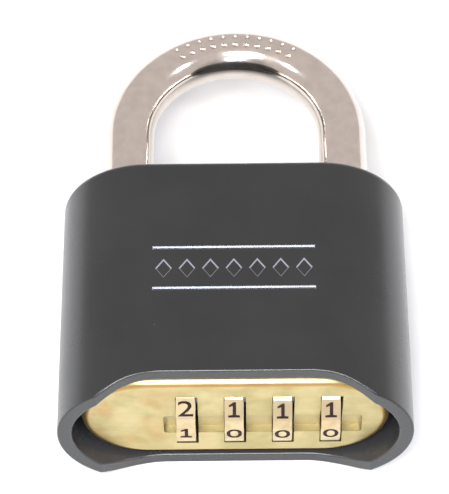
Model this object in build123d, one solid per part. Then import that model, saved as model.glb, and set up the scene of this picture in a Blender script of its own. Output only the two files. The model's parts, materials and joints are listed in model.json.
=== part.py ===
from build123d import *
import math
import os

# Four-wheel combination padlock, lying on its back. Millimetres.
# X runs along the dials, Y runs from the dial end towards the shackle, Z is up
# from the flat back. While it is built, Y = 0 is just inside the tips of the
# shell's ears.

os.makedirs("parts", exist_ok=True)

# Overall
BOW_TOP = 72.6
EAR_TIPS = -0.3
BODY_WIDTH = 50.8
BODY_THICKNESS = 25.0
BODY_LENGTH = 39.1
MID = BODY_THICKNESS / 2

# Outer shell
WALL = 2.1
TOP_WALL = 2.6
TOP_ROUND = 1.2
RIM_ROUND = 0.25
HOLE_CHAMFER = 0.4
SCALLOP_DEPTH = 2.6
SCALLOP_FLAT = 10.0
SCALLOP_RADIUS = 16.0
SCALLOP_SLOPE = 27.0
PANEL_LINE_LENGTH = 23.4
PANEL_LINE_WIDTH = 0.56
PANEL_LINE_YS = (16.5, 23.5)
PANEL_DEPTH = 0.22
PANEL_SLOPE = 45
LOZENGES = 7
LOZENGE_PITCH = 3.35
LOZENGE_SIZE = (2.5, 3.4)

# Dial housing and number wheels
HOUSING_LENGTH = 44.1
HOUSING_THICKNESS = 18.9
HOUSING_FACE = 2.4
HOUSING_BACK = 19.0
HOUSING_ROUND = 1.2
FACE_THICKNESS = 1.8
WHEELS = 4
FIRST_WHEEL_X = -7.05
WHEEL_PITCH = 6.87
WHEEL_RADIUS = 7.6
WHEEL_WIDTH = 2.74
WHEEL_FLAT_RADIUS = 7.42
WHEEL_SETTINGS = (0, 2, 4, 3)
WHEEL_STANDS_OUT = 2.27
WINDOW_SIDES = (-1.45, 1.72)
WINDOW_RADIUS = 8.2
AXIS_Y = HOUSING_FACE + WHEEL_RADIUS - WHEEL_STANDS_OUT
AXIS_Z = MID - 0.44
CAVITY_X = (-10.7, 15.6)
CAVITY_HALF = 8.1
INDEX_BAND_X = (-10.3, 18.1)
INDEX_BAND_Z = (MID - 3.75, MID + 0.85)
INDEX_BAND_DEPTH = 1.2
INDEX_BAND_ROUND = 0.6

# Wheel hubs and the fence
SPINDLE_RADIUS = 1.5
HUB_RADIUS = 2.4
CAM_RADIUS = 3.3
CAM_WIDTH = 1.2
GATE_WIDTH = 1.3
GATE_DEPTH = 1.0
GATE_TURNS = (1, 4, 6, 8)
DIGITS = 10
RUNNING_FIT = 0.06
FENCE_Y = (15.8, 17.6)
FENCE_PIVOT = (16.7, MID - 6.9)
FENCE_PIN_RADIUS = 0.7
FENCE_SPRING_XS = (-2.0, 9.0)
FENCE_SPRING_Z = MID - 3.5

# Shackle
SHACKLE_RADIUS = 3.65
SHACKLE_X = 0.5
LEG_OFFSET = 16.25
HEEL_X = SHACKLE_X - LEG_OFFSET
TOE_X = SHACKLE_X + LEG_OFFSET
ARCH_Y = BOW_TOP - SHACKLE_RADIUS - LEG_OFFSET
HEEL_END = 20.5
TOE_END = 28.9
NECK_RADIUS = 2.6
NECK_Y = (22.5, 35.8)
BORE_RADIUS = SHACKLE_RADIUS + 0.08
PUNCH_MARKS = 11
PUNCH_STEP = 6.4
PUNCH_ROWS = (-0.8, 0.8)
PUNCH_RADIUS = 0.45

# Lock frame and bolt
FRAME_LENGTH = 46.0
FRAME_THICKNESS = 20.2
FRAME_TOP = BODY_LENGTH - TOP_WALL
BOLT_X = (2.5, 14.6)
BOLT_Y = (32.4, 35.4)
BOLT_HALF = 2.5
BOLT_RATIO = 0.5
CHANNEL_X = (-8.5, 14.5)
STOP_PIN_RADIUS = 1.0
STOP_PIN_Y = 34.6
SCREW_X = 17.5
SCREW_Z = MID + 6.5
SCREW_RADIUS = 0.9
SETSCREW_Y = 30.5
SETSCREW_RADIUS = 1.5
SPRING_SEAT_Y = 10.0
SPRING_SEAT_RADIUS = 3.3

WHEEL_XS = [FIRST_WHEEL_X + i * WHEEL_PITCH for i in range(WHEELS)]


def block(xs, ys, zs):
    size = (xs[1] - xs[0], ys[1] - ys[0], zs[1] - zs[0])
    middle = (sum(xs) / 2, sum(ys) / 2, sum(zs) / 2)
    return Pos(*middle) * Box(*size)


def rod_x(xs, y, z, radius):
    return Pos(sum(xs) / 2, y, z) * Rot(0, 90, 0) * Cylinder(radius, xs[1] - xs[0])


def rod_y(x, ys, z, radius):
    return Pos(x, sum(ys) / 2, z) * Rot(90, 0, 0) * Cylinder(radius, ys[1] - ys[0])


def rod_z(x, y, zs, radius):
    return Pos(x, y, sum(zs) / 2) * Cylinder(radius, zs[1] - zs[0])


def oval(length, thickness, ys):
    """A flat-sided slab with half-round ends, extruded along Y."""
    section = Plane(origin=(0, ys[0], MID), x_dir=(1, 0, 0), z_dir=(0, 1, 0))
    return extrude(section * SlotOverall(length, thickness), amount=ys[1] - ys[0])


def coil(radius, wire, turns, length):
    """A round-wire spring along +Z from the origin, its wire ends inside the length."""
    run = length - 2 * wire
    path = Helix(pitch=run / turns, height=run, radius=radius, center=(0, 0, wire))
    start = Plane(origin=path @ 0, z_dir=path % 0)
    return sweep(start * Circle(wire), path=path)


def scallop():
    """The finger cut: flat in the middle, then a bend and a slope out to the ears."""
    depth = SCALLOP_DEPTH
    bend = JernArc((SCALLOP_FLAT, depth), (1, 0), SCALLOP_RADIUS, -SCALLOP_SLOPE)
    end = bend @ 1
    reach = end.X + (end.Y + 2) / math.tan(math.radians(SCALLOP_SLOPE))
    outline = [Line((0, depth), (SCALLOP_FLAT, depth)), bend]
    outline.append(Polyline(end, (reach, -2), (0, -2), (0, depth)))
    half = extrude(make_face(outline), amount=BODY_THICKNESS)
    return half + mirror(half, Plane.YZ)


def outer_shell():
    shell = oval(BODY_WIDTH, BODY_THICKNESS, (EAR_TIPS, BODY_LENGTH))
    shell = fillet(shell.faces().sort_by(Axis.Y)[-1].edges(), TOP_ROUND)
    shell -= scallop()
    shell -= oval(BODY_WIDTH - 2 * WALL, BODY_THICKNESS - 2 * WALL, (-1, FRAME_TOP))
    rim = [e for e in shell.edges() if e.bounding_box().max.Y < SCALLOP_DEPTH + 0.1]
    across_wall = [e for e in rim if e.geom_type == GeomType.LINE and abs(e.tangent_at(0).Z) > 0.5]
    shell = fillet([e for e in rim if e not in across_wall], RIM_ROUND)
    for x in (HEEL_X, TOE_X):
        shell -= rod_y(x, (FRAME_TOP - 1, BODY_LENGTH + 1), MID, BORE_RADIUS)
        lead_in = Pos(x, BODY_LENGTH - HOLE_CHAMFER / 2, MID) * Rot(-90, 0, 0)
        shell -= lead_in * Cone(BORE_RADIUS, BORE_RADIUS + HOLE_CHAMFER, HOLE_CHAMFER)
    shell -= rod_x((BODY_WIDTH / 2 - WALL - 1, BODY_WIDTH / 2 - 1.1), SETSCREW_Y, MID, SETSCREW_RADIUS)
    return shell - panel_marks()


def panel_marks():
    """Two fine lines across the front with a row of lozenges between them."""
    front = Plane.XY.offset(BODY_THICKNESS)
    marks = Sketch()
    for y in PANEL_LINE_YS:
        marks += Pos(0, y) * Rectangle(PANEL_LINE_LENGTH, PANEL_LINE_WIDTH)
    wide, tall = LOZENGE_SIZE
    for i in range(LOZENGES):
        x = (i - (LOZENGES - 1) / 2) * LOZENGE_PITCH
        corners = [(x - wide / 2, 0), (x, tall / 2), (x + wide / 2, 0), (x, -tall / 2)]
        shape = make_face(Polyline(*corners, close=True))
        marks += Pos(0, sum(PANEL_LINE_YS) / 2) * shape
    return extrude(front * marks, amount=-PANEL_DEPTH, taper=PANEL_SLOPE)


def dial_housing():
    housing = oval(HOUSING_LENGTH, HOUSING_THICKNESS, (HOUSING_FACE, HOUSING_BACK))
    housing = fillet(housing.faces().sort_by(Axis.Y)[0].edges(), HOUSING_ROUND)
    cavity_zs = (AXIS_Z - CAVITY_HALF, AXIS_Z + CAVITY_HALF)
    cavity = block(CAVITY_X, (HOUSING_FACE + FACE_THICKNESS, HOUSING_BACK + 1), cavity_zs)
    housing -= fillet(cavity.edges().filter_by(Axis.Y), 1.0)
    for x in WHEEL_XS:
        sides = (x + WINDOW_SIDES[0], x + WINDOW_SIDES[1])
        window = rod_x(sides, AXIS_Y, AXIS_Z, WINDOW_RADIUS)
        housing -= window & block(sides, (-2, HOUSING_FACE + FACE_THICKNESS + 1), (0, BODY_THICKNESS))
    band = block(INDEX_BAND_X, (0, HOUSING_FACE + INDEX_BAND_DEPTH), INDEX_BAND_Z)
    housing -= fillet(band.edges().filter_by(Axis.Y), INDEX_BAND_ROUND)
    housing -= rod_x((-12.6, 30), AXIS_Y, AXIS_Z, SPINDLE_RADIUS)
    housing -= rod_x((-12.1, 17.3), *FENCE_PIVOT, FENCE_PIN_RADIUS)
    housing -= rod_y(HEEL_X, (SPRING_SEAT_Y, HOUSING_BACK + 1), MID, SPRING_SEAT_RADIUS)
    for x in (-SCREW_X, SCREW_X):
        housing -= rod_y(x, (10.9, HOUSING_BACK + 1), SCREW_Z, SCREW_RADIUS)
    return housing


def wheel_spindle():
    spindle = rod_x((-12.5, 21.0), AXIS_Y, AXIS_Z, SPINDLE_RADIUS)
    groove = rod_x((-10.38, -9.92), AXIS_Y, AXIS_Z, SPINDLE_RADIUS + 1)
    groove -= rod_x((-10.38, -9.92), AXIS_Y, AXIS_Z, SPINDLE_RADIUS - 0.4)
    spindle = chamfer(spindle.edges(), 0.3) - groove
    return spindle


def spindle_clip():
    """An open snap ring in the spindle's groove."""
    clip = rod_x((-10.35, -9.95), AXIS_Y, AXIS_Z, 2.3)
    clip -= rod_x((-11, -9), AXIS_Y, AXIS_Z, SPINDLE_RADIUS - 0.39)
    return clip - block((-11, -9), (AXIS_Y, AXIS_Y + 3), (AXIS_Z - 0.8, AXIS_Z + 0.8))


def number_wheel(x, setting):
    """A rim with ten flats for the numerals, and a shallow recess in each side."""
    sides = (x - WHEEL_WIDTH / 2, x + WHEEL_WIDTH / 2)
    wheel = fillet(rod_x(sides, AXIS_Y, AXIS_Z, WHEEL_RADIUS).edges(), 0.12)
    flats = RegularPolygon(WHEEL_FLAT_RADIUS, DIGITS, major_radius=False, rotation=180 / DIGITS)
    prism = extrude(Plane.YZ * flats, amount=WHEEL_WIDTH / 2, both=True)
    wheel &= Pos(x, AXIS_Y, AXIS_Z) * Rot(setting, 0, 0) * prism
    for edge in sides:
        recess = rod_x((edge - 0.3, edge + 0.3), AXIS_Y, AXIS_Z, WHEEL_RADIUS - 1.6)
        wheel -= recess - rod_x((edge - 1, edge + 1), AXIS_Y, AXIS_Z, CAM_RADIUS + 0.2)
    return wheel - rod_x((x - 5, x + 5), AXIS_Y, AXIS_Z, HUB_RADIUS + 0.01)


def gate_cam(x, turns):
    """A sleeve through the wheel with a ten-notch cam beside it, cut by one gate."""
    left = x - WHEEL_WIDTH / 2
    cam = rod_x((left - CAM_WIDTH, left - 0.01), AXIS_Y, AXIS_Z, CAM_RADIUS)
    step = 360 / DIGITS
    for i in range(DIGITS):
        angle = math.radians(i * step + 9)
        y = AXIS_Y + (CAM_RADIUS + 0.25) * math.cos(angle)
        z = AXIS_Z + (CAM_RADIUS + 0.25) * math.sin(angle)
        cam -= rod_x((left - 2, left + 1), y, z, 0.5)
    gate = block((-3, 3), (CAM_RADIUS - GATE_DEPTH, CAM_RADIUS + 1), (-GATE_WIDTH / 2, GATE_WIDTH / 2))
    cam -= Pos(left, AXIS_Y, AXIS_Z) * Rot(turns * step, 0, 0) * gate
    cam += rod_x((left - CAM_WIDTH, x + WHEEL_WIDTH / 2), AXIS_Y, AXIS_Z, HUB_RADIUS)
    return cam - rod_x((x - 9, x + 9), AXIS_Y, AXIS_Z, SPINDLE_RADIUS + RUNNING_FIT)


def wheel_spacers():
    """Thin washers on the spindle that keep the wheels to their pitch."""
    washers = Part()
    for x in WHEEL_XS[:-1]:
        xs = (x + WHEEL_WIDTH / 2 + 0.05, x + WHEEL_PITCH - WHEEL_WIDTH / 2 - CAM_WIDTH - 0.05)
        ring = rod_x(xs, AXIS_Y, AXIS_Z, 2.2)
        washers += ring - rod_x((x - 9, x + 9), AXIS_Y, AXIS_Z, SPINDLE_RADIUS)
    return washers


def detent_spring():
    """A leaf behind the wheels with one finger reaching down to each cam."""
    leaf = block((CAVITY_X[0] + 0.5, CAVITY_X[1] - 0.5), (16.0, 16.3), (16.6, 19.9))
    reach = math.radians(45)
    tip_y = AXIS_Y + (CAM_RADIUS + 0.25) * math.cos(reach)
    tip_z = AXIS_Z + (CAM_RADIUS + 0.25) * math.sin(reach)
    for x in WHEEL_XS:
        middle = x - WHEEL_WIDTH / 2 - CAM_WIDTH / 2
        side = Plane(origin=(middle - 0.45, 0, 0), x_dir=(0, 1, 0), z_dir=(1, 0, 0))
        corners = [(16.05, 17.0), (16.05, 17.4), (tip_y, tip_z + 0.4), (tip_y, tip_z)]
        leaf += extrude(side * make_face(Polyline(*corners, close=True)), amount=0.9)
    return leaf


def fence_bar():
    """A hinged bar behind the wheels whose fingers face the cams' gates."""
    xs = (CAVITY_X[0] + 0.5, CAVITY_X[1] - 0.5)
    bar = block(xs, FENCE_Y, (FENCE_PIVOT[1], MID - 0.4))
    bar += rod_x(xs, *FENCE_PIVOT, 1.4)
    for x in WHEEL_XS:
        middle = x - WHEEL_WIDTH / 2 - CAM_WIDTH / 2
        tip = AXIS_Y + CAM_RADIUS + 0.15
        bar += block((middle - 0.45, middle + 0.45), (tip, FENCE_Y[0] + 0.2), (MID - 1.4, MID - 0.4))
    return bar - rod_x((-20, 20), *FENCE_PIVOT, FENCE_PIN_RADIUS + 0.03)


def fence_pin():
    return rod_x((-12.0, 17.2), *FENCE_PIVOT, FENCE_PIN_RADIUS)


def fence_springs():
    springs = Part()
    for x in FENCE_SPRING_XS:
        spring = Rot(-90, 0, 0) * coil(1.1, 0.2, 6, 23.0 - FENCE_Y[1])
        springs += Pos(x, FENCE_Y[1], FENCE_SPRING_Z) * spring
    return springs


def lock_frame():
    frame = oval(FRAME_LENGTH, FRAME_THICKNESS, (HOUSING_BACK, FRAME_TOP))
    frame = chamfer(frame.faces().sort_by(Axis.Y)[0].edges(), 0.4)
    frame -= rod_y(HEEL_X, (HOUSING_BACK - 1, FRAME_TOP + 1), MID, BORE_RADIUS)
    frame -= rod_y(TOE_X, (TOE_END - 0.9, FRAME_TOP + 1), MID, BORE_RADIUS)
    fit = 0.08
    channel_zs = (MID - BOLT_HALF - fit, MID + BOLT_HALF + fit)
    frame -= block(CHANNEL_X, (BOLT_Y[0] - fit, FRAME_TOP + 1), channel_zs)
    frame -= rod_z(HEEL_X + NECK_RADIUS + 1.08, STOP_PIN_Y, (0, BODY_THICKNESS), STOP_PIN_RADIUS)
    for x in (-SCREW_X, SCREW_X):
        frame -= rod_y(x, (HOUSING_BACK - 1, FRAME_TOP), SCREW_Z, SCREW_RADIUS)
        frame -= rod_y(x, (34.5, FRAME_TOP + 1), SCREW_Z, 1.7)
    frame -= rod_x((TOE_X, 30), SETSCREW_Y, MID, SETSCREW_RADIUS)
    for x in FENCE_SPRING_XS:
        frame -= rod_y(x, (HOUSING_BACK - 1, 23.0), FENCE_SPRING_Z, 1.6)
    return frame


def bolt_cover():
    zs = (MID - BOLT_HALF, MID + BOLT_HALF)
    cover = block((CHANNEL_X[0] + 0.1, TOE_X - BORE_RADIUS + 0.05), (FRAME_TOP - 1.0, FRAME_TOP), zs)
    return cover - rod_y(TOE_X, (30, 40), MID, BORE_RADIUS)


def stop_pin():
    x = HEEL_X + NECK_RADIUS + 1.08
    half = FRAME_THICKNESS / 2 - 0.05
    return rod_z(x, STOP_PIN_Y, (MID - half, MID + half), STOP_PIN_RADIUS)


def housing_screws():
    """Two cheese-head screws, both the same, that hold the housing to the frame."""
    screws = Part()
    for x in (-SCREW_X, SCREW_X):
        head = rod_y(x, (34.5, 36.2), SCREW_Z, 1.6)
        head -= block((x - 2, x + 2), (35.5, 37), (SCREW_Z - 0.25, SCREW_Z + 0.25))
        screws += head + rod_y(x, (11.0, 34.6), SCREW_Z, SCREW_RADIUS)
    return screws


def setscrew():
    """The grub screw in the toe's bore that locks the frame into the shell."""
    xs = (TOE_X + 4.3, BODY_WIDTH / 2 - 1.15)
    screw = rod_x(xs, SETSCREW_Y, MID, SETSCREW_RADIUS)
    return screw - block((xs[0] - 1, xs[0] + 0.8), (30.25, 30.75), (MID - 2, MID + 2))


def shackle_spring():
    spring = coil(2.6, 0.35, 6, HEEL_END - SPRING_SEAT_Y)
    return Pos(HEEL_X, SPRING_SEAT_Y, MID) * Rot(-90, 0, 0) * spring


def bolt_spring():
    start = CHANNEL_X[0]
    spring = coil(1.1, 0.25, 9, BOLT_X[0] - start)
    return Pos(start, sum(BOLT_Y) / 2, MID) * Rot(0, 90, 0) * spring


def shackle():
    """A round bar bent into a bow, with a neck on its heel and a notch in its toe."""
    heel = Line((HEEL_X, HEEL_END, MID), (HEEL_X, ARCH_Y, MID))
    top = (SHACKLE_X, ARCH_Y + LEG_OFFSET, MID)
    bow = ThreePointArc((HEEL_X, ARCH_Y, MID), top, (TOE_X, ARCH_Y, MID))
    toe = Line((TOE_X, ARCH_Y, MID), (TOE_X, TOE_END, MID))
    start = Plane(origin=(HEEL_X, HEEL_END, MID), z_dir=(0, 1, 0))
    bar = sweep(start * Circle(SHACKLE_RADIUS), path=Wire([heel, bow, toe]))
    ends = [e for e in bar.edges() if e.center().Y < TOE_END + 0.1]
    ends = [e for e in ends if e.geom_type == GeomType.CIRCLE]
    bar = chamfer(ends, 0.7)
    neck = rod_y(HEEL_X, NECK_Y, MID, SHACKLE_RADIUS + 1)
    bar -= neck - rod_y(HEEL_X, NECK_Y, MID, NECK_RADIUS)
    deep = BOLT_X[1] + 0.1
    out = TOE_X - SHACKLE_RADIUS - 1
    low = BOLT_Y[0] - 0.2
    drop = (deep - out) / BOLT_RATIO
    corners = [(out, BOLT_Y[1] + 0.2), (deep, BOLT_Y[1] + 0.2), (deep, low), (out, low - drop)]
    notch = extrude(make_face(Polyline(*corners, close=True)), amount=BODY_THICKNESS)
    return bar - notch - punch_marks()


def punch_marks():
    """Two rows of small punched dots round the front of the bow."""
    dots = Part()
    for i in range(PUNCH_MARKS):
        angle = math.radians((i - (PUNCH_MARKS - 1) / 2) * PUNCH_STEP)
        for row in PUNCH_ROWS:
            reach = LEG_OFFSET + row
            height = math.sqrt(SHACKLE_RADIUS**2 - row**2) + PUNCH_RADIUS / 2
            place = (SHACKLE_X + reach * math.sin(angle), ARCH_Y + reach * math.cos(angle), MID + height)
            dots += Pos(*place) * Sphere(PUNCH_RADIUS)
    return dots


def locking_bolt():
    bolt = block(BOLT_X, BOLT_Y, (MID - BOLT_HALF, MID + BOLT_HALF))
    nose = bolt.faces().sort_by(Axis.X)[-1].edges().filter_by(Axis.Y)
    return fillet(nose, 0.5)


def main():
    nodes = {
        "outer_shell": outer_shell(),
        "dial_housing": dial_housing(),
        "wheel_spindle": wheel_spindle(),
        "spindle_clip": spindle_clip(),
        "wheel_spacers": wheel_spacers(),
        "detent_spring": detent_spring(),
        "fence_bar": fence_bar(),
        "fence_pin": fence_pin(),
        "fence_springs": fence_springs(),
        "lock_frame": lock_frame(),
        "bolt_cover": bolt_cover(),
        "stop_pin": stop_pin(),
        "housing_screws": housing_screws(),
        "frame_setscrew": setscrew(),
        "shackle_spring": shackle_spring(),
        "bolt_spring": bolt_spring(),
        "shackle": shackle(),
        "locking_bolt": locking_bolt(),
    }
    for i, x in enumerate(WHEEL_XS):
        nodes[f"number_wheel_{i + 1}"] = number_wheel(x, WHEEL_SETTINGS[i])
        nodes[f"gate_cam_{i + 1}"] = gate_cam(x, GATE_TURNS[i])
    for name, shape in nodes.items():
        centred = Pos(0, -(EAR_TIPS + BOW_TOP) / 2, 0) * shape
        export_step(centred, f"parts/{name}.step")


main()
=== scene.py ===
import json
import math

import bmesh
import bpy
from mathutils import Matrix, Quaternion, Vector


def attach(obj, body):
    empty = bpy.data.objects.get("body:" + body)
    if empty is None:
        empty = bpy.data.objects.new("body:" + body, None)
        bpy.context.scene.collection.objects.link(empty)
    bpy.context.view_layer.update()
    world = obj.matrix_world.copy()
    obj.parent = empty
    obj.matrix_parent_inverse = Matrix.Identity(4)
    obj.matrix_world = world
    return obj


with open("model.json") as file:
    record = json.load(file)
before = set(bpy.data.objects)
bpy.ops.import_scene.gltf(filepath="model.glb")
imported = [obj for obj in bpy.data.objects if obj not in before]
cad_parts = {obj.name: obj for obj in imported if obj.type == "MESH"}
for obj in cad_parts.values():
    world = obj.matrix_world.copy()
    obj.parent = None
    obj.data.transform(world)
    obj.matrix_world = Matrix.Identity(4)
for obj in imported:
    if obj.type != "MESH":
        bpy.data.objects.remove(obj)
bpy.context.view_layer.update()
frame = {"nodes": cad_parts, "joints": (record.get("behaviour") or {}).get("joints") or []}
nodes = frame["nodes"]

# Outer shell: a die-cast zinc tube with a closed top, sprayed with a satin
# charcoal enamel inside and out. The finger cuts, the two fine lines and the
# lozenges are cast in; the paint over them has a faint orange peel.

# The shell is an oval: a flat core with round ends, its middle line at half the
# thickness. INNER_REACH is how far from that core the wall inside lies.
MID_THICKNESS = 0.0125
SHELL_CORE = 0.0129
INNER_REACH = (0.0108, 0.0104)

# The marks on the front, 0.22 mm deep, lie within 12.5 mm of their middle along X
# and 4.3 mm along Y; their walls carry a painted highlight. Each row: an axis, where
# the marks end on it and where they have fully begun.
MARKS_MIDDLE = (0, -0.01615, 0)
MARK_HIGHLIGHT_BOX = [
    ("X", 0.0126, 0.0125),
    ("Y", 0.0044, 0.0043),
    ("Z", 0.02497, 0.02494),
    ("Z", 0.02479, 0.02481),
]


def linear(code):
    """An sRGB hex colour as linear red, green, blue and alpha."""
    shares = [int(code[i:i + 2], 16) / 255 for i in (0, 2, 4)]
    return [s / 12.92 if s <= 0.04045 else ((s + 0.055) / 1.055) ** 2.4 for s in shares] + [1]


def add(tree, kind, sockets, stops=(), **settings):
    """Adds one node: its inputs, given or linked, the two stops of a colour band, its options."""
    node = tree.nodes.new("ShaderNode" + kind)
    for name, value in settings.items():
        setattr(node, name, value)
    for socket, value in sockets.items():
        if isinstance(value, bpy.types.NodeSocket):
            tree.links.new(value, node.inputs[socket])
        else:
            node.inputs[socket].default_value = value
    for number, (position, colour) in enumerate(stops):
        node.color_ramp.elements[number].position = position
        node.color_ramp.elements[number].color = linear(colour)
    return node


def finish(name, **uniform):
    """A new material with the given uniform inputs: itself, its nodes, its shader, its place."""
    made = bpy.data.materials.new(name)
    made.use_nodes = True
    shader = made.node_tree.nodes["Principled BSDF"]
    for socket, value in uniform.items():
        shader.inputs[socket].default_value = value
    place = add(made.node_tree, "TexCoord", {}).outputs["Object"]
    return made, made.node_tree, shader, place


def per_mm(size):
    """The texture scale that makes one cell of a pattern this many millimetres wide."""
    return 1000 / size


def from_core(tree, place, core_end):
    """Distance of each point from the flat core, at mid thickness, of an oval along X."""
    away = add(tree, "VectorMath", {0: place, 1: (0, 0, MID_THICKNESS)}, operation="SUBTRACT")
    away = add(tree, "VectorMath", {0: away.outputs["Vector"]}, operation="ABSOLUTE")
    away = {0: away.outputs["Vector"], 1: (core_end, 0, 0)}
    away = add(tree, "VectorMath", away, operation="SUBTRACT")
    away = {0: away.outputs["Vector"], 1: (0, 0, 0)}
    away = add(tree, "VectorMath", away, operation="MAXIMUM")
    away = {0: away.outputs["Vector"], 1: (1, 0, 1)}
    away = add(tree, "VectorMath", away, operation="MULTIPLY").outputs["Vector"]
    return add(tree, "VectorMath", {0: away}, operation="LENGTH").outputs["Value"]


# Satin enamel on zinc: a soft sheen that lifts at grazing angles, an orange
# peel about 0.5 mm across, and a few specks of dust 0.2 mm wide. Inside the shell
# the enamel is a paler grey.
enamel, tree, paint, place = finish("satin_charcoal_enamel", IOR=1.55)
cloud = add(tree, "TexNoise", {"Vector": place, "Scale": per_mm(9), "Detail": 4}).outputs["Fac"]
tone = add(tree, "ValToRGB", {"Fac": cloud}, [(0.3, "1a1c1d"), (0.7, "1f2122")]).outputs["Color"]
reach = from_core(tree, place, SHELL_CORE)
inner = {"Value": reach, "From Min": INNER_REACH[0], "From Max": INNER_REACH[1]}
inner = add(tree, "MapRange", inner).outputs["Result"]
tone = {"Factor": inner, "A": tone, "B": linear("343538")}
tone = add(tree, "Mix", tone, data_type="RGBA").outputs["Result"]

# The walls of the marks are painted a paler grey: a painted highlight along their edges.
off = add(tree, "VectorMath", {0: place, 1: MARKS_MIDDLE}, operation="SUBTRACT")
off = add(tree, "VectorMath", {0: off.outputs["Vector"]}, operation="ABSOLUTE")
off = add(tree, "SeparateXYZ", {"Vector": off.outputs["Vector"]}).outputs
mark_wall_highlight = 1
for axis, end, start in MARK_HIGHLIGHT_BOX:
    share = {"Value": off[axis], "From Min": end, "From Max": start}
    share = add(tree, "MapRange", share).outputs["Result"]
    mark_wall_highlight = add(tree, "Math", {0: mark_wall_highlight, 1: share}, operation="MULTIPLY").outputs["Value"]
tone = {"Factor": mark_wall_highlight, "A": tone, "B": linear("83838f")}
tone = add(tree, "Mix", tone, data_type="RGBA").outputs["Result"]

# Dust: a speck 0.2 mm across in some of the pattern's 3.2 mm cells.
speck = add(tree, "TexVoronoi", {"Vector": place, "Scale": per_mm(3.2)})
near = {"Value": speck.outputs["Distance"], "From Min": 0.035, "From Max": 0.0}
near = add(tree, "MapRange", near).outputs["Result"]
chosen = {"Value": speck.outputs["Color"], "From Min": 0.66, "From Max": 0.68}
chosen = add(tree, "MapRange", chosen).outputs["Result"]
dust = add(tree, "Math", {0: near, 1: chosen}, operation="MULTIPLY").outputs["Value"]
dusty = {"Factor": dust, "A": tone, "B": linear("8a8886")}
dusty = add(tree, "Mix", dusty, data_type="RGBA").outputs["Result"]
tree.links.new(dusty, paint.inputs["Base Color"])
gloss = {"Value": cloud, "From Min": 0.3, "From Max": 0.7, "To Min": 0.25, "To Max": 0.3}
tree.links.new(add(tree, "MapRange", gloss).outputs["Result"], paint.inputs["Roughness"])
peel = add(tree, "TexNoise", {"Vector": place, "Scale": per_mm(0.5), "Detail": 2}).outputs["Fac"]
skin = add(tree, "Bump", {"Height": peel, "Strength": 0.16, "Distance": 0.00004})
tree.links.new(skin.outputs["Normal"], paint.inputs["Normal"])
nodes["outer_shell"].material_slots[0].material = enamel

# Lock frame: the inner casting that carries the shackle's bores and the bolt's
# channel. Bare zinc alloy, as it came from the die: dull grey with soft flow
# marks about 3 mm across.


def bare_metal(name, size, detail, tones, rough, span=(0.3, 0.7)):
    """A metal whose tone and roughness follow one pattern: itself, its nodes, shader, pattern."""
    made, tree, metal, place = finish(name, Metallic=1)
    pattern = {"Vector": place, "Scale": per_mm(size), "Detail": detail}
    pattern = add(tree, "TexNoise", pattern).outputs["Fac"]
    tone = add(tree, "ValToRGB", {"Fac": pattern}, zip(span, tones)).outputs["Color"]
    tree.links.new(tone, metal.inputs["Base Color"])
    sheen = {"Value": pattern, "From Min": span[0], "From Max": span[1],
             "To Min": rough[0], "To Max": rough[1]}
    sheen = add(tree, "MapRange", sheen).outputs["Result"]
    tree.links.new(sheen, metal.inputs["Roughness"])
    return made, tree, metal, pattern


casting, *_ = bare_metal("bare_cast_zinc", 3, 6, ("8d8d8c", "b0b0ae"), (0.42, 0.6))
nodes["lock_frame"].material_slots[0].material = casting

# Steel pins, screws, washers, bolt cover, fence bar and bolt: plain turned or
# stamped steel, bright with fine tool marks 0.15 mm apart.

turned, *_ = bare_metal("turned_steel", 0.15, 3, ("9a9a9c", "bdbdbe"), (0.26, 0.38))
STEEL_NODES = ["wheel_spindle", "wheel_spacers", "fence_bar", "fence_pin", "bolt_cover"]
STEEL_NODES += ["stop_pin", "housing_screws", "frame_setscrew", "locking_bolt"]
for name in STEEL_NODES:
    nodes[name].material_slots[0].material = turned

# Springs and clip: drawn spring wire and strip, oil-blackened, so darker and
# smoother than the turned steel.

wire, *_ = bare_metal("drawn_spring_steel", 0.3, 3, ("5c5b5d", "77767a"), (0.22, 0.34))
SPRING_NODES = ["spindle_clip", "detent_spring", "fence_springs", "shackle_spring", "bolt_spring"]
for name in SPRING_NODES:
    nodes[name].material_slots[0].material = wire

# Dial housing: a milled brass block with four windows. Its face is worn pale
# yellow and clouded with olive where fingers rest, with faint cutter streaks
# along X, a painted dark line of reflection round its edge and a browner left end.

# Two distances from the housing's flat core: to the painted dark line of reflection, and
# to the limit of the windows. RECESS_START is where these begin along Y, behind the face.
HOUSING_CORE = 0.0126
REFLECTION_LINE_REACH = 0.0087
RECESS_REACH = (0.008, 0.0078)
RECESS_START = (-0.0337, -0.0336)

milled, tree, metal, place = finish("milled_brass", Metallic=1)
cloud = add(tree, "TexNoise", {"Vector": place, "Scale": per_mm(4), "Detail": 4}).outputs["Fac"]
tone = add(tree, "ValToRGB", {"Fac": cloud}, [(0.36, "b0a473"), (0.64, "c6b88a")]).outputs["Color"]
long_grain = add(tree, "Mapping", {"Vector": place, "Scale": (0.15, 1, 1)}).outputs["Vector"]
streak = {"Vector": long_grain, "Scale": per_mm(0.9), "Detail": 3}
streak = add(tree, "TexNoise", streak).outputs["Fac"]
shade = {"Value": streak, "From Min": 0.3, "From Max": 0.7, "To Min": 0.94, "To Max": 1.03}
shade = add(tree, "MapRange", shade).outputs["Result"]
tone = add(tree, "VectorMath", {0: tone, 1: shade}, operation="MULTIPLY").outputs["Vector"]

# Brown stains about 5 mm across fade in from 6 to 14 mm left of the middle.
stain = add(tree, "TexNoise", {"Vector": place, "Scale": per_mm(5), "Detail": 3}).outputs["Fac"]
stain = {"Value": stain, "From Min": 0.48, "From Max": 0.66, "To Max": 0.5}
stain = add(tree, "MapRange", stain).outputs["Result"]
axes = add(tree, "SeparateXYZ", {"Vector": place}).outputs
leftward = {"Value": axes["X"], "From Min": -0.006, "From Max": -0.014}
leftward = add(tree, "MapRange", leftward).outputs["Result"]
tarnish = add(tree, "Math", {0: stain, 1: leftward}, operation="MULTIPLY").outputs["Value"]
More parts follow.
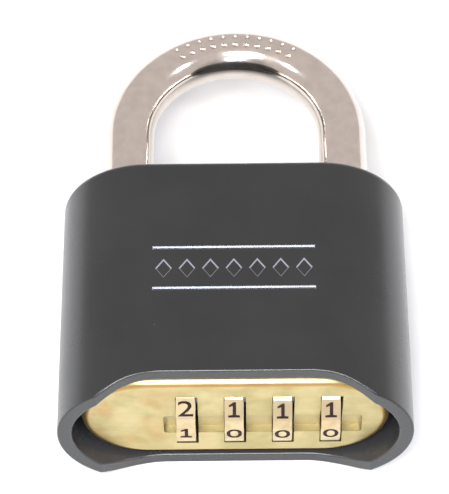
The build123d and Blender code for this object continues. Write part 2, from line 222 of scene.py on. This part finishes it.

# A brown line is painted where the rounding begins: a painted reflection of the dark shell.
reach = from_core(tree, place, HOUSING_CORE)
gap = {0: reach, 1: REFLECTION_LINE_REACH}
gap = add(tree, "Math", gap, operation="SUBTRACT").outputs["Value"]
gap = add(tree, "Math", {0: gap}, operation="ABSOLUTE").outputs["Value"]
painted_reflection_line = {"Value": gap, "From Min": 0.00034, "From Max": 0.00012, "To Max": 0.8}
painted_reflection_line = add(tree, "MapRange", painted_reflection_line).outputs["Result"]
stain_and_reflection_line = add(tree, "Math", {0: tarnish, 1: painted_reflection_line}, operation="MAXIMUM").outputs["Value"]
toned = {"Factor": stain_and_reflection_line, "A": tone, "B": linear("b08040")}
toned = add(tree, "Mix", toned, data_type="RGBA").outputs["Result"]

# The windows' walls and the index groove were never buffed, so they are rougher;
# they are also painted a paler brass that lifts the shade in these recesses.
sunk = {"Value": axes["Y"], "From Min": RECESS_START[0], "From Max": RECESS_START[1]}
sunk = add(tree, "MapRange", sunk).outputs["Result"]
within = {"Value": reach, "From Min": RECESS_REACH[0], "From Max": RECESS_REACH[1]}
within = add(tree, "MapRange", within).outputs["Result"]
recess_unbuffed_and_lifted = add(tree, "Math", {0: sunk, 1: within}, operation="MULTIPLY").outputs["Value"]
recess_lifted_tone = {"Factor": recess_unbuffed_and_lifted, "A": toned, "B": linear("c0b590")}
recess_lifted_tone = add(tree, "Mix", recess_lifted_tone, data_type="RGBA").outputs["Result"]
tree.links.new(recess_lifted_tone, metal.inputs["Base Color"])
rough = {"Value": cloud, "From Min": 0.3, "From Max": 0.7, "To Min": 0.36, "To Max": 0.44}
rough = add(tree, "MapRange", rough).outputs["Result"]
rough = add(tree, "Mix", {"Factor": recess_unbuffed_and_lifted, "A": rough, "B": 0.6}).outputs["Result"]
tree.links.new(rough, metal.inputs["Roughness"])
scratch = add(tree, "Bump", {"Height": streak, "Strength": 0.1, "Distance": 0.00003})
tree.links.new(scratch.outputs["Normal"], metal.inputs["Normal"])
nodes["dial_housing"].material_slots[0].material = milled

# Gate cams: free-turned brass sleeves, deeper yellow than the worn faces
# because nobody touches them, with tool marks 0.2 mm apart.

fresh, *_ = bare_metal("turned_brass", 0.2, 2, ("c9a860", "dcbd76"), (0.24, 0.34))
for number in (1, 2, 3, 4):
    nodes[f"gate_cam_{number}"].material_slots[0].material = fresh

# Number wheels: buffed pale brass with ten flats. Handling has left darker,
# duller smears about 1.4 mm across on the sheen.

SMEARS = {"tones": ("cdbb97", "bda982"), "rough": (0.32, 0.44), "span": (0.35, 0.7)}
buffed, *_ = bare_metal("buffed_pale_brass", 1.4, 4, **SMEARS)
for number in (1, 2, 3, 4):
    nodes[f"number_wheel_{number}"].material_slots[0].material = buffed

# Numerals: stamped into the flats and filled with a dark brown lacquer, which
# stands a hair above the metal. Each wheel carries 0 to 9, each above the one
# before; the one is a slab-footed figure, so it is drawn from its own outline.

# The lacquer has dried thin and dull and mirrors very little, hence the low IOR.
lacquer, tree, ink, place = finish("dark_numeral_lacquer", Roughness=0.6, IOR=1.25)
patchy = add(tree, "TexNoise", {"Vector": place, "Scale": per_mm(0.4), "Detail": 3}).outputs["Fac"]
tone = add(tree, "ValToRGB", {"Fac": patchy}, [(0.35, "1c1012"), (0.7, "332120")])
tree.links.new(tone.outputs["Color"], ink.inputs["Base Color"])

NUMERAL_HEIGHT = 0.00236
NUMERAL_WIDTH = 0.0022
NUMERAL_WEIGHT = 0.004
ONE_WIDTH = 0.00165
ONE_OUTLINE = [(0, 0), (1, 0), (1, 0.13), (0.68, 0.17), (0.68, 1), (0.46, 1), (0.06, 0.8),
               (0.06, 0.68), (0.38, 0.76), (0.38, 0.17), (0, 0.13)]
CURVE_STEPS = 6
LACQUER_RISE = 0.00003
FLAT_RADIUS = 0.00742
DIGIT_STEP = math.radians(36)

# Each wheel: the numeral at the index groove, and the degrees it stands below it.
FACING = {1: (1, 0), 2: (0, 2), 3: (0, 4), 4: (0, 3)}


def figure(digit):
    """A slab of one numeral, of any width and height and 1 thick, face up."""
    shape = bmesh.new()
    if digit == 1:
        shape.faces.new([shape.verts.new((x, y, 0)) for x, y in ONE_OUTLINE])
    else:
        text = bpy.data.curves.new(f"numeral_{digit}", "FONT")
        text.body = str(digit)
        text.offset = NUMERAL_WEIGHT
        text.resolution_u = CURVE_STEPS
        holder = bpy.data.objects.new(text.name, text)
        bpy.context.collection.objects.link(holder)
        seen = holder.evaluated_get(bpy.context.evaluated_depsgraph_get())
        shape.from_mesh(bpy.data.meshes.new_from_object(seen))
        bpy.data.objects.remove(holder)
    bmesh.ops.remove_doubles(shape, verts=shape.verts, dist=0.0001)
    raised = bmesh.ops.extrude_face_region(shape, geom=shape.faces[:])["geom"]
    raised = [part for part in raised if isinstance(part, bmesh.types.BMVert)]
    bmesh.ops.translate(shape, vec=(0, 0, 1), verts=raised)
    bmesh.ops.recalc_face_normals(shape, faces=shape.faces)
    slab = bpy.data.meshes.new(f"figure_{digit}")
    shape.to_mesh(slab)
    shape.free()
    return slab


figures = [figure(digit) for digit in range(10)]
for number, (facing, setting) in FACING.items():
    joint = next(j for j in frame["joints"] if j["name"] == f"dial_{number}_turn")
    axle = Matrix.Translation(joint["pos_m"])
    band = bmesh.new()
    for digit, slab in enumerate(figures):
        earlier = len(band.verts)
        band.from_mesh(slab)
        band.verts.ensure_lookup_table()
        outline = band.verts[earlier:]
        low = Vector([min(v.co[i] for v in outline) for i in range(2)])
        high = Vector([max(v.co[i] for v in outline) for i in range(2)])
        size = high - low
        middle = (low + high) / 2
        width = ONE_WIDTH if digit == 1 else NUMERAL_WIDTH
        fitted = Matrix.Diagonal((width / size.x, NUMERAL_HEIGHT / size.y, LACQUER_RISE, 1))
        centred = Matrix.Translation((-middle.x, -middle.y, 0))
        outward = Matrix.Translation((0, 0, FLAT_RADIUS))
        turn = math.radians(90 + setting) - (digit - facing) * DIGIT_STEP
        turned_up = Matrix.Rotation(turn, 4, "X")
        placed = axle @ turned_up @ outward @ fitted @ centred
        bmesh.ops.transform(band, matrix=placed, verts=outline)
    mesh = bpy.data.meshes.new(f"numerals_{number}")
    band.to_mesh(mesh)
    band.free()
    numerals = bpy.data.objects.new(f"numerals_{number}", mesh)
    bpy.context.collection.objects.link(numerals)
    mesh.materials.append(lacquer)
    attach(numerals, f"dial_{number}")

# Shackle: a hardened steel bar, bent to a bow and chrome plated. The plating is
# a near mirror, with very faint ripples about 2 mm long left by the bending.

PLATING = {"tones": ("cfc7bf", "d9d1c9"), "rough": (0.11, 0.17)}
chrome, tree, metal, ripple = bare_metal("bright_chrome_plate", 2, 2, **PLATING)
wave = add(tree, "Bump", {"Height": ripple, "Strength": 0.05, "Distance": 0.00005})
tree.links.new(wave.outputs["Normal"], metal.inputs["Normal"])
nodes["shackle"].material_slots[0].material = chrome

# Studio: a pale matt table, soft light from all round that is dimmer low on the
# camera's side, a broad key lamp above the camera and to its left, a small lamp in
# front and one high on each side. The camera looks down on the flat front.

table_finish, tree, matt, place = finish("pale_table", Roughness=0.8)
grain = add(tree, "TexNoise", {"Vector": place, "Scale": per_mm(20), "Detail": 2}).outputs["Fac"]
tone = add(tree, "ValToRGB", {"Fac": grain}, [(0.3, "e2e3e4"), (0.7, "e8e9ea")])
tree.links.new(tone.outputs["Color"], matt.inputs["Base Color"])
TABLE_HALF_WIDTH = 1.5
surface = bmesh.new()
bmesh.ops.create_grid(surface, x_segments=4, y_segments=4, size=TABLE_HALF_WIDTH)
table_mesh = bpy.data.meshes.new("table")
surface.to_mesh(table_mesh)
surface.free()
table = bpy.data.objects.new("table", table_mesh)
bpy.context.collection.objects.link(table)
table_mesh.materials.append(table_finish)

# Dimming begins at the first of these values of a ray's Y and is full at the second.
DIMMED = (-0.66, -0.82)
world = bpy.data.worlds.new("studio_air")
world.use_nodes = True
tree = world.node_tree
air = tree.nodes["Background"]
sight = add(tree, "TexCoord", {}).outputs["Generated"]
sight = add(tree, "SeparateXYZ", {"Vector": sight}).outputs["Y"]
nearby = {"Value": sight, "From Min": DIMMED[0], "From Max": DIMMED[1], "To Max": 0.5}
nearby = add(tree, "MapRange", nearby).outputs["Result"]
room = {"Factor": nearby, "A": linear("e1d9d7"), "B": linear("605c5c")}
room = add(tree, "Mix", room, data_type="RGBA").outputs["Result"]
tree.links.new(room, air.inputs["Color"])
air.inputs["Strength"].default_value = 1.06
bpy.context.scene.world = world

# Each lamp: its place, its side in metres, its watts and its colour.
LAMPS = {
    "key_lamp": ((-0.12, -0.45, 0.78), 0.32, 8.2, "fffdfa"),
    "front_lamp": ((0.0, -0.66, 0.46), 0.16, 3.0, "e8f1ff"),
    "left_lamp": ((-0.54, -0.2, 0.7), 0.13, 1.6, "e8f3ff"),
    "right_lamp": ((0.54, -0.2, 0.7), 0.13, 1.6, "e8f3ff"),
}
for name, (spot, side, watts, colour) in LAMPS.items():
    light = bpy.data.lights.new(name, "AREA")
    light.size = side
    light.energy = watts
    light.color = linear(colour)[:3]
    lamp = bpy.data.objects.new(name, light)
    lamp.location = spot
    lamp.rotation_mode = "QUATERNION"
    lamp.rotation_quaternion = Vector(spot).to_track_quat("Z", "Y")
    bpy.context.collection.objects.link(lamp)

CAMERA_ELEVATION = math.radians(55.17)
CAMERA_TURN = math.radians(0.45)
CAMERA_ROLL = math.radians(-0.94)
CAMERA_DISTANCE = 0.3925
CAMERA_AIM = Vector((-0.0014, -0.00286, 0.011))
CAMERA_LENS = 190.7
SENSOR_WIDTH = 36
towards = Vector((math.sin(CAMERA_TURN) * math.cos(CAMERA_ELEVATION),
                  -math.cos(CAMERA_TURN) * math.cos(CAMERA_ELEVATION),
                  math.sin(CAMERA_ELEVATION)))
lens = bpy.data.cameras.new("studio_camera")
lens.lens = CAMERA_LENS
lens.sensor_width = SENSOR_WIDTH
lens.clip_start = 0.01
camera = bpy.data.objects.new("studio_camera", lens)
camera.location = CAMERA_AIM + towards * CAMERA_DISTANCE
camera.rotation_mode = "QUATERNION"
camera.rotation_quaternion = towards.to_track_quat("Z", "Y") @ Quaternion((0, 0, 1), CAMERA_ROLL)
bpy.context.collection.objects.link(camera)
bpy.context.scene.camera = camera
bpy.context.scene.view_settings.view_transform = "Standard"
